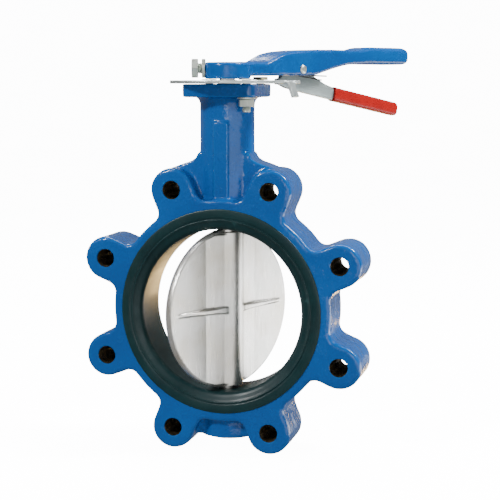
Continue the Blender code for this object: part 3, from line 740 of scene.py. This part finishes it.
# ---- notch plate
def plate_outline():
    """A round base with a fan on the open side, notched where the latch stops the lever."""
    reach, shoulder = math.radians(15.8), math.radians(4.6)
    mouth = math.sqrt(NOTCH_MOUTH_R ** 2 - NOTCH_HALF ** 2)
    corner_r = 0.001
    corner_x, corner_y = NOTCH_ROOT_R + corner_r, NOTCH_HALF - corner_r
    edge = math.asin(NOTCH_HALF / NOTCH_MOUTH_R)
    clear = edge * 1.3
    points = arc((0, 0), TAB_ROOT_R, -reach, -shoulder, 5)
    points += arc((0, 0), NOTCH_MOUTH_R, -shoulder, -edge * 1.2, 2)
    for n in range(NOTCH_COUNT):
        turn = Matrix.Rotation(n * NOTCH_STEP, 2)
        notch = [(mouth, -NOTCH_HALF)]
        notch += arc((corner_x, -corner_y), corner_r, math.radians(270), math.radians(180), 3)
        notch += arc((corner_x, corner_y), corner_r, math.radians(180), math.radians(90), 3)
        notch += [(mouth, NOTCH_HALF)]
        points += [tuple(turn @ Vector(point)) for point in notch]
        if n < NOTCH_COUNT - 1:
            points += arc((0, 0), NOTCH_MOUTH_R, n * NOTCH_STEP + clear, (n + 1) * NOTCH_STEP - clear, 4)
    end = (NOTCH_COUNT - 1) * NOTCH_STEP
    points += arc((0, 0), NOTCH_MOUTH_R, end + clear, end + shoulder, 2)
    points += arc((0, 0), TAB_ROOT_R, end + shoulder, end + reach, 5)
    points += arc((0, 0), PLATE_BASE_R, end + 1.4 * reach, math.tau - 1.4 * reach, 72)
    return points


def plate_tab(angle):
    """An end stop: a broad tongue bent down and outwards over a round corner."""
    bend_r, lean, length = 0.0012, math.radians(20.6), 0.0127
    bend = Vector((TAB_ROOT_R + 0.0003, PLATE_LOW - bend_r))
    outer = arc(bend, bend_r + PLATE_THICK, math.radians(90), lean, 8)
    inner = arc(bend, bend_r, lean, math.radians(90), 5)
    drop = length * Vector((math.sin(lean), -math.cos(lean)))
    tip_out = Vector(outer[-1]) + drop
    tip_in = Vector(inner[0]) + drop
    root = TAB_ROOT_R - 0.004
    profile = [(root, PLATE_TOP)] + outer + [tuple(tip_out), tuple(tip_in)] + inner + [(root, PLATE_LOW)]
    tab = prism("tab", profile, -TAB_HALF, TAB_HALF)
    return placed(tab, Matrix.Rotation(angle, 4, "Z"))


def make_plate(look):
    """The latch plate: a flat sheet with its two end stops, bored for the stem and four bolts."""
    sheet = prism("sheet", plate_outline(), PLATE_LOW, PLATE_TOP, plane="XY")
    tabs = [plate_tab(math.radians(angle)) for angle in (-10.5, 100.5)]
    plate = fused("latch_plate", [sheet] + tabs, 0.0006, 2)
    stem_hole_r, below, above = 0.014, 0.2, 0.22
    holes = [rod("stem_hole", stem_hole_r, (0, 0, below), (0, 0, above))]
    holes += [rod("bolt_hole", FLANGE_HOLE_R, (x, y, below), (x, y, above), sides=32)
              for x, y, _ in flange_spots()]
    boolean(plate, holes)
    install(shaded(plate, 40), "body", look, "notch_plate")


# ---- fasteners
def hex_block(name, across, low, high, turn=0.0, both=False):
    """A hexagon along Z with its corners turned off at the top, or at both ends."""
    corner = across / math.sqrt(3)
    inside, outside = across / 2 * 0.96, corner * 1.02
    fall = (corner - inside) * math.tan(math.radians(30))
    past = low - 0.001
    if both:
        profile = [(0, low), (inside, low), (outside, low + fall)]
    else:
        profile = [(0, past), (outside, past)]
    profile += [(outside, high - fall), (inside, high), (0, high)]
    head = rod(name, corner, (0, 0, low), (0, 0, high), sides=6, turn=turn)
    return boolean(head, [lathe("turned", profile, 64)], "INTERSECT", "EXACT")


def bolt_thread(name, minor, major, pitch, low, high, sides=32, steps=8):
    """A threaded shank along Z with a chamfered end."""
    length = high - low
    rows = max(2, int(length / pitch * steps))
    rings = []
    for row in range(rows + 1):
        height = low + length * row / rows
        lead = min(1.0, 0.35 + 0.65 * min(row, rows - row) / steps)
        rings.append([around(thread_wall(minor, major, height / pitch - n / sides) * (0.88 + 0.12 * lead),
                             math.tau * n / sides, height) for n in range(sides)])
    return skin(name, rings)


def tapped_nut(name, across, low, high, hole, turn=0.0):
    """A hexagon nut with a plain hole; the screw's thread fills it."""
    nut = hex_block(name, across, low, high, turn, both=True)
    cutter = rod("hole", hole, (0, 0, low - 0.01), (0, 0, high + 0.01), sides=48)
    return boolean(nut, [cutter], solver="EXACT")


def make_plate_fixings(look, yellow):
    """Low-headed M8 bolts down through the plate and the flange, with washers and nuts under it.

    A low yellow screw sits in a third hole of the plate.
    """
    head_low, under, across = PLATE_TOP + GAP, SPOT_Z - GAP, 0.013
    shank_r, shank_top = 0.0039, head_low + 0.0008
    for place, spot in (("rear", 1), ("front", 3)):
        at = Matrix.Translation(flange_spots()[spot])
        dome = lathe("dome", [(0, head_low), (0.0072, head_low), (0.0075, head_low + 0.0002),
                              (0.0071, head_low + 0.0006), (0.0060, head_low + 0.0009),
                              (0, head_low + 0.0011)], 64)
        shank = rod("shank", shank_r, (0, 0, under - 0.0010), (0, 0, shank_top), sides=48)
        screw = bolt_thread("thread", 0.0034, 0.0040, 0.00125, under - 0.0134, under)
        bolt = combined(f"flange_bolt_{place}", [dome, shank, screw])
        install(shaded(placed(bolt, at), 35), "body", look, f"plate_bolt_{place}")
        washer = lathe(f"flange_washer_{place}", [(0.0043, under - 0.0015), (0.0080, under - 0.0015),
                                                  (0.0084, under - 0.0012), (0.0084, under - 0.0002),
                                                  (0.0081, under), (0.0043, under)], 64, closed=True)
        install(shaded(placed(washer, at), 35), "body", look, f"plate_washer_{place}")
        nut = tapped_nut(f"flange_nut_{place}", across, under - 0.0083, under - 0.0018, 0.0041, turn=0.45)
        install(shaded(placed(nut, at), 25), "body", look, f"plate_nut_{place}")
    head = hex_block("head", across, head_low, head_low + 0.0029, turn=0.35)
    shank = rod("shank", shank_r, (0, 0, 0.1955), (0, 0, shank_top), sides=48)
    screw = placed(combined("low_screw", [head, shank]), Matrix.Translation(flange_spots()[0]))
    install(shaded(screw, 25), "body", yellow, "stop_screw")


def make_bottom_plug(look):
    """The plug in the foot: chamfered, grooved for its seal, with a 10 mm hexagon socket."""
    outer, groove = STEM_BORE_R - GAP, STEM_BORE_R - GAP - 0.0022
    steps = [(0, 0.0004), (outer - 0.0008, 0.0004), (outer, 0.0011), (outer, 0.0039), (groove, 0.0041),
             (groove, 0.0069), (outer, 0.0071), (outer, 0.0095), (0, 0.0095)]
    plug = lathe("foot_plug", [(radius, FOOT_Z + height) for radius, height in steps], 96)
    socket_r, socket_depth = 0.010 / math.sqrt(3), 0.0045
    socket = rod("socket", socket_r, (0, 0, FOOT_Z - 0.01), (0, 0, FOOT_Z + socket_depth), sides=6)
    boolean(plug, [socket], solver="EXACT")
    install(shaded(plug, 30), "body", look, "bottom_plug")


# ---- lever
# Heights above the top flange's face, and half widths, by distance from the stem.
LEVER_UNDERSIDE = [(0.006, 0.0072), (0.036, 0.0073), (0.057, 0.0076), (0.087, 0.0080), (0.104, 0.0083),
                   (0.112, 0.0103), (0.131, 0.0147), (0.150, 0.0184), (0.161, 0.0193), (0.180, 0.0195),
                   (0.235, 0.0196), (0.243, 0.0198), (0.247, 0.0210)]
LEVER_TOP = [(0.006, 0.0198), (0.036, 0.0200), (0.042, 0.0220), (0.049, 0.0252), (0.057, 0.0282),
             (0.069, 0.0304), (0.087, 0.0320), (0.104, 0.0327), (0.131, 0.0331), (0.161, 0.0331),
             (0.173, 0.0335), (0.180, 0.0356), (0.187, 0.0366), (0.235, 0.0368), (0.243, 0.0364),
             (0.247, 0.0345)]
LEVER_HALF = [(0.006, 0.0172), (0.042, 0.0174), (0.087, 0.0172), (0.112, 0.0167), (0.131, 0.0160),
              (0.150, 0.0152), (0.173, 0.0146), (0.187, 0.0150), (0.235, 0.0150), (0.243, 0.0148),
              (0.247, 0.0134)]
HOLLOW_TOP = [(0.0262, 0.0150), (0.037, 0.0152), (0.049, 0.0198), (0.057, 0.0230), (0.069, 0.0254),
              (0.087, 0.0270), (0.138, 0.0280), (0.148, 0.0246)]


def read_off(table, place):
    """The value at a place, along straight lines through a short table of points."""
    if place <= table[0][0]:
        return table[0][1]
    for (x0, y0), (x1, y1) in zip(table, table[1:]):
        if place <= x1:
            share = (place - x0) / (x1 - x0)
            return y0 + (y1 - y0) * share
    return table[-1][1]


def softened(table, place, width=0.003):
    """The table read over a short stretch, which rounds its corners."""
    spots = [place + width * step for step in (-1, -0.5, 0, 0.5, 1)]
    return sum(read_off(table, spot) for spot in spots) / len(spots)


def bar_section(reach, low, high, half, corner, steps=5):
    """A rounded rectangle across the lever."""
    corner = min(corner, half * 0.9, (high - low) * 0.45)
    points = []
    for n, (side, level) in enumerate(((1, 1), (-1, 1), (-1, -1), (1, -1))):
        centre = (side * (half - corner), (low + high) / 2 + level * ((high - low) / 2 - corner))
        points += arc(centre, corner, math.pi / 2 * n, math.pi / 2 * (n + 1), steps)
    return [(reach, y, FACE_Z + z) for y, z in points]


def lever_bar():
    """The arched bar, with rounder corners where the hand holds it."""
    rows = []
    count = 90
    for n in range(count + 1):
        reach = LEVER_START + (LEVER_END - LEVER_START) * n / count
        low, high = softened(LEVER_UNDERSIDE, reach), softened(LEVER_TOP, reach)
        grip = smooth_step((reach - 0.168) / 0.018)
        rows.append(bar_section(reach, low, high, softened(LEVER_HALF, reach), 0.0034 + 0.0016 * grip))
    return skin("bar", rows)


def lever_hollow():
    """The tool for the channel under the lever, which the trigger folds into."""
    rows = []
    count = 40
    half, corner, below = 0.0115, 0.003, -0.03
    for n in range(count + 1):
        reach = HOLLOW_START + (HOLLOW_END - HOLLOW_START) * n / count
        rows.append(bar_section(reach, below, softened(HOLLOW_TOP, reach, 0.002), half, corner))
    return skin("hollow", rows)


def clamp_frame():
    """Takes +Z to the clamp screw's axis, pointing out of the hub."""
    out = around(1, CLAMP_ANGLE)
    turn = out.to_track_quat("Z", "Y").to_matrix().to_4x4()
    return Matrix.Translation((0, 0, FACE_Z + CLAMP_HEIGHT)) @ turn


def make_lever(look):
    """The hand lever: hub and bar cast in one, bored for the stem's square, the clamp and the pin."""
    crown = arc((0.0178, 0.0166), 0.0032, 0, math.radians(90), 6)
    hub = lathe("hub", [(0, 0.0046), (0.0204, 0.0046), (0.0210, 0.0052)] + crown + [(0, 0.0198)], 96)
    placed(hub, Matrix.Translation((0, 0, FACE_Z)))
    lever = hammered(fused("hand_lever", [lever_bar(), hub], 0.0008, 4), 0.014, 0.0004)
    boolean(lever, [lever_hollow()])
    square = block("square", (-SQUARE_HALF, -SQUARE_HALF, 0.2), (SQUARE_HALF, SQUARE_HALF, 0.24))
    boolean(lever, [placed(square, Matrix.Rotation(CLAMP_ANGLE, 4, "Z"))])
    clamp_hole = rod("clamp_hole", 0.0053, (0, 0, 0.002), (0, 0, 0.04), sides=48)
    pin_hole = rod("pin_hole", PIN_R, (PIN_REACH, -0.03, PIN.z), (PIN_REACH, 0.03, PIN.z), sides=48)
    boolean(lever, [placed(clamp_hole, clamp_frame()), pin_hole])
    clamp_seat = rod("clamp_seat", 0.0102, (0, 0, CLAMP_FLAT), (0, 0, 0.06))
    boolean(lever, [placed(clamp_seat, clamp_frame())])
    install(shaded(placed(lever, TURN), 40), "stem", look, "lever_handle")


def make_clamp(look):
    """An M10 screw that grips the stem's square, locked by a thin nut against the hub."""
    spot = TURN @ clamp_frame()
    start, end = CLAMP_FLAT + 0.0071, CLAMP_FLAT + 0.0128
    screw = bolt_thread("screw", 0.0043, 0.0050, 0.0015, 0.0073, start + 0.0003)
    head = hex_block("head", CLAMP_ACROSS, start, end, turn=FLAT_DOWN)
    bolt = combined("clamping_screw", [screw, head])
    install(shaded(placed(bolt, spot), 30), "stem", look, "clamp_screw")
    low, high = CLAMP_FLAT + GAP, CLAMP_FLAT + 0.0035
    nut = tapped_nut("thin_nut", CLAMP_ACROSS, low, high, 0.0052, turn=FLAT_DOWN)
    install(shaded(placed(nut, spot), 25), "stem", look, "clamp_lock_nut")


# ---- trigger
def trigger_frame():
    """Takes the origin to the middle of the trigger's pin and +X along the lever."""
    return TURN @ Matrix.Translation((PIN_REACH, 0, PIN.z))


def rounded_run(points, radius, steps=4):
    """An open run of points with its inner corners turned into short arcs."""
    made = [Vector(points[0])]
    for before, corner, after in zip(points, points[1:], points[2:]):
        before, corner, after = Vector(before), Vector(corner), Vector(after)
        back, on = (before - corner), (after - corner)
        cut = min(radius, back.length / 2.2, on.length / 2.2)
        start, end = corner + back.normalized() * cut, corner + on.normalized() * cut
        for n in range(steps + 1):
            t = n / steps
            made.append(start.lerp(corner, t).lerp(corner.lerp(end, t), t))
    return made + [Vector(points[-1])]


def make_trigger(look):
    """Pressed plate: tooth, eye round the pin, and the arm that slopes to the grip."""
    lower = [(0.1500, -0.0426), (0.0590, -0.0275), (0.0584, -0.0293), (0.0091, -0.0208), (-0.0074, -0.0174),
             (-0.0154, -0.0143), (-0.0194, -0.0143), (-0.0194, -0.0089), (-0.0150, -0.0084),
             (-0.0132, -0.0048)]
    upper = [(0.0131, 0.0020), (0.0266, -0.0042), (0.0372, -0.0090), (0.0475, -0.0138), (0.0596, -0.0171),
             (0.0600, -0.0189), (0.1500, -0.0338)]
    eye_r, half = 0.0086, 0.0025
    eye = arc((0, 0), eye_r, math.radians(170), math.radians(45), 14)
    outline = rounded_run(lower, 0.0012) + eye + rounded_run(upper, 0.006)
    plate = bevelled(prism("latch_trigger", outline, -half, half), 0.0004, 2)
    boolean(plate, [rod("eye", PIN_R, (0, -0.02, 0), (0, 0.02, 0), sides=48)], solver="EXACT")
    install(shaded(placed(plate, trigger_frame()), 30), "trigger", look, "trigger_lever")


def make_sleeve(look):
    """The dipped grip: a flattened tube, closed at its end, with a rolled lip where it starts."""
    start, end = Vector((0.0602, -0.0236)), Vector((0.1608, -0.0405))
    slope = math.atan2(end.y - start.y, end.x - start.x)
    length = (end - start).length
    half_tall, half_wide, squareness = 0.00700, 0.0051, 0.55
    rows = []
    count, sides = 60, 40
    for n in range(count + 1):
        along = length * n / count
        into_bulb = max(0.0, GRIP_BULB - (length - along))
        tip = math.sqrt(max(0.0, 1 - (into_bulb / (GRIP_BULB * 1.01)) ** 2))
        lip = 1 + 0.03 * math.exp(-((along - 0.001) / 0.0012) ** 2) - 0.06 * math.exp(-(along / 0.0005) ** 2)
        tall, wide = half_tall * (0.22 + 0.78 * tip), half_wide * (0.25 + 0.75 * tip)
        wave = 1 + 0.006 * math.sin(along * 300) + 0.004 * math.sin(along * 710 + 1)
        ring = []
        for m in range(sides):
            angle = math.tau * m / sides
            level, rise = math.cos(angle), math.sin(angle)
            across = wide * math.copysign(abs(level) ** squareness, level) * lip
            up = tall * math.copysign(abs(rise) ** squareness, rise) * lip * wave
            ring.append((along, across, up))
        rows.append(ring)
    sleeve = skin("dipped_grip", rows)
    hollow = block("hollow", (-0.01, -0.0028, -0.0049), (length - 0.0045, 0.0028, 0.0049))
    boolean(sleeve, [hollow])
    tilt = Matrix.Translation((start.x, 0, start.y)) @ Matrix.Rotation(-slope, 4, "Y")
    placed(sleeve, trigger_frame() @ tilt)
    install(shaded(sleeve, 50), "trigger", look, "trigger_sleeve")


def make_pin(look):
    """The rivet that the trigger turns on, domed at both ends."""
    dome = [(0, -0.0190), (0.0020, -0.0189), (0.0034, -0.0184), (0.0042, -0.0177), (0.0042, -0.01755),
            (0.0030, -0.01750)]
    profile = dome + [(radius, -height) for radius, height in reversed(dome)]
    pin = lathe("hinge_rivet", profile, 64, axis="Y")
    install(shaded(placed(pin, trigger_frame()), 40), "stem", look, "trigger_pin")


def make_spring(look):
    """A torsion spring round the pin: one leg on the trigger, one up inside the lever."""
    coil_r, turns, pitch, side, wire_r = 0.0052, 3, 0.0019, -0.0036, 0.0007
    count = 40 * turns
    coil = []
    for i in range(count + 1):
        angle = -math.pi / 2 + math.tau * turns * i / count
        coil.append((coil_r * math.cos(angle), side - pitch * turns * i / count, coil_r * math.sin(angle)))
    points = [(0.0410, side, -0.0100)] + coil + [(0.0418, coil[-1][1], -0.0062)]
    curve = bpy.data.curves.new("latch_spring", "CURVE")
    curve.dimensions = "3D"
    curve.bevel_depth = wire_r
    curve.bevel_resolution = 4
    curve.use_fill_caps = True
    spline = curve.splines.new("POLY")
    spline.points.add(len(points) - 1)
    for point, place in zip(spline.points, points):
        point.co = (*place, 1)
    rough = linked(bpy.data.objects.new("rough", curve))
    bpy.context.view_layer.update()
    mesh = bpy.data.meshes.new_from_object(rough.evaluated_get(bpy.context.evaluated_depsgraph_get()))
    discard(rough)
    bm = bmesh.new()
    bm.from_mesh(mesh)
    bmesh.ops.remove_doubles(bm, verts=bm.verts, dist=0.00001)
    spring = as_object("latch_spring", bm)
    install(shaded(placed(spring, trigger_frame()), 50), "trigger", look, "trigger_spring")


# ---- camera, light and floor
def add_camera():
    """Just above the top flange's level and to the right of the pipe's axis."""
    azimuth, elevation, roll = math.radians(15.09), math.radians(7.31), math.radians(0.03)
    distance, focal_pixels, frame_pixels, sensor = 1.18815, 1300, 500, 36
    back = Vector((math.sin(azimuth) * math.cos(elevation), -math.cos(azimuth) * math.cos(elevation),
                   math.sin(elevation)))
    level = Vector((math.cos(azimuth), math.sin(azimuth), 0))
    rise = back.cross(level)
    right = math.cos(roll) * level + math.sin(roll) * rise
    up = math.cos(roll) * rise - math.sin(roll) * level
    aside, above = 0.02781, 0.0569
    target = Vector((0, -LUG_FACE, 0)) + right * aside + up * above
    camera = bpy.data.cameras.new("camera")
    camera.sensor_width = sensor
    camera.lens = sensor * focal_pixels / frame_pixels
    holder = linked(bpy.data.objects.new("camera", camera))
    turn = Matrix((right, up, back)).transposed()
    holder.matrix_world = Matrix.Translation(target + back * distance) @ turn.to_4x4()
    bpy.context.scene.camera = holder


def add_light(name, place, target, size, watts, colour=(1, 1, 1)):
    """A soft rectangle of light, itself out of the camera's sight."""
    light = bpy.data.lights.new(name, "AREA")
    light.shape = "RECTANGLE"
    light.size, light.size_y = size
    light.energy = watts
    light.color = colour
    holder = linked(bpy.data.objects.new(name, light))
    aim = (Vector(target) - Vector(place)).to_track_quat("-Z", "Y").to_matrix().to_4x4()
    holder.matrix_world = Matrix.Translation(place) @ aim
    holder.visible_camera = False


def add_backdrop(low):
    """A pale floor that runs up into a pale dome.

    It gives no light and shows in no reflection, so the valve is lit by the lamps alone.
    """
    reach, bend_r = 8, 2
    bend = arc((reach - bend_r, low + bend_r), bend_r, -math.pi / 2, 0, 12)
    top = arc((0, low + bend_r), reach, 0, math.pi / 2, 12)
    profile = [(0, low)] + bend + top[1:-1] + [(0, low + bend_r + reach)]
    sweep = lathe("backdrop", profile, 96)
    look = Look("pale_studio", Roughness=0.9, Specular_IOR_Level=0.0, Emission_Strength=BACKDROP_GLOW)
    paper = look.colours(look.noise(3, 2), [(0.3, (0.93, 0.94, 0.95)), (0.7, (0.96, 0.96, 0.97))])
    look.colour(paper)
    look.link(paper, look.shader.inputs["Emission Color"])
    sweep.data.materials.append(look.made)
    sweep.visible_diffuse = False
    sweep.visible_glossy = False
    sweep.visible_shadow = False
    shaded(sweep)


def add_studio():
    """Soft lamps high up, wide cards low down for the disc, and a dim white sky."""
    world = bpy.data.worlds.new("studio")
    bpy.context.scene.world = world
    world.use_nodes = True
    world.node_tree.nodes["Background"].inputs["Color"].default_value = (1, 1, 1, 1)
    world.node_tree.nodes["Background"].inputs["Strength"].default_value = 0.27
    middle = (0, 0, 0.05)
    add_light("key", (-1.0, -1.4, 1.2), middle, (0.20, 0.20), 33)
    add_light("front", (0.3, -2.2, 0.2), middle, (0.5, 0.5), 4)
    add_light("front_right_card", (0.78, -1.05, -0.06), (0, 0, 0), (1.3, 0.75), 5.0)
    add_light("right_high", (1.0, 0.10, 1.25), middle, (0.15, 0.35), 30)
    add_light("top", (0.0, 0.2, 1.6), middle, (1.2, 0.3), 20)
    add_light("back_high", (-0.7, 1.1, 1.2), middle, (0.3, 0.3), 9)
    add_light("right_card", (0.67, 0.27, -0.17), (0, 0, -0.02), (1.15, 0.27), 5.0)
    add_light("warm_card", (0.0, 0.75, -0.20), (-0.05, 0, 0.04), (0.26, 0.10), 1.3, (1.0, 0.66, 0.26))
    add_backdrop(CAD_BOX[0][2] - 0.0004)


# ---- the valve
add_camera()
add_studio()

fastener = zinc("zinc_fastener", (0.46, 0.50, 0.46), (0.62, 0.66, 0.60))
make_body(blue_enamel("body_enamel", 0.42, 1.0))
make_lug_threads(tapped_iron())
make_liner(seat_rubber())
make_disc(disc_steel())
make_plate(zinc("zinc_sheet", (0.55, 0.61, 0.60), (0.70, 0.76, 0.75), 0.34, 0.50, 200))
make_plate_fixings(fastener, zinc("yellow_zinc", (0.42, 0.38, 0.22), (0.58, 0.52, 0.32)))
make_bottom_plug(fastener)
# The lever's enamel is the body's with less coat and a base darkened to 0.85; the darker base is painted
# shade against the glare the lamps leave on the lever.
make_lever(blue_enamel("lever_enamel", 0.10, 0.85))
make_clamp(fastener)
make_trigger(rolled_plate())
make_sleeve(dipped_pvc())
make_pin(fastener)
make_spring(spring_steel())

for look, nodes in (
        (turned_steel(), ("upper_stem", "lower_stem")),
        (cast_bronze(), ("upper_bush", "middle_bush", "lower_bush")),
        (seal_rubber(), ("upper_stem_o_ring", "middle_stem_o_ring", "lower_stem_o_ring", "plug_o_ring")),
        (spring_steel(), ("retaining_ring",))):
    for node in nodes:
        refinish(node, look)
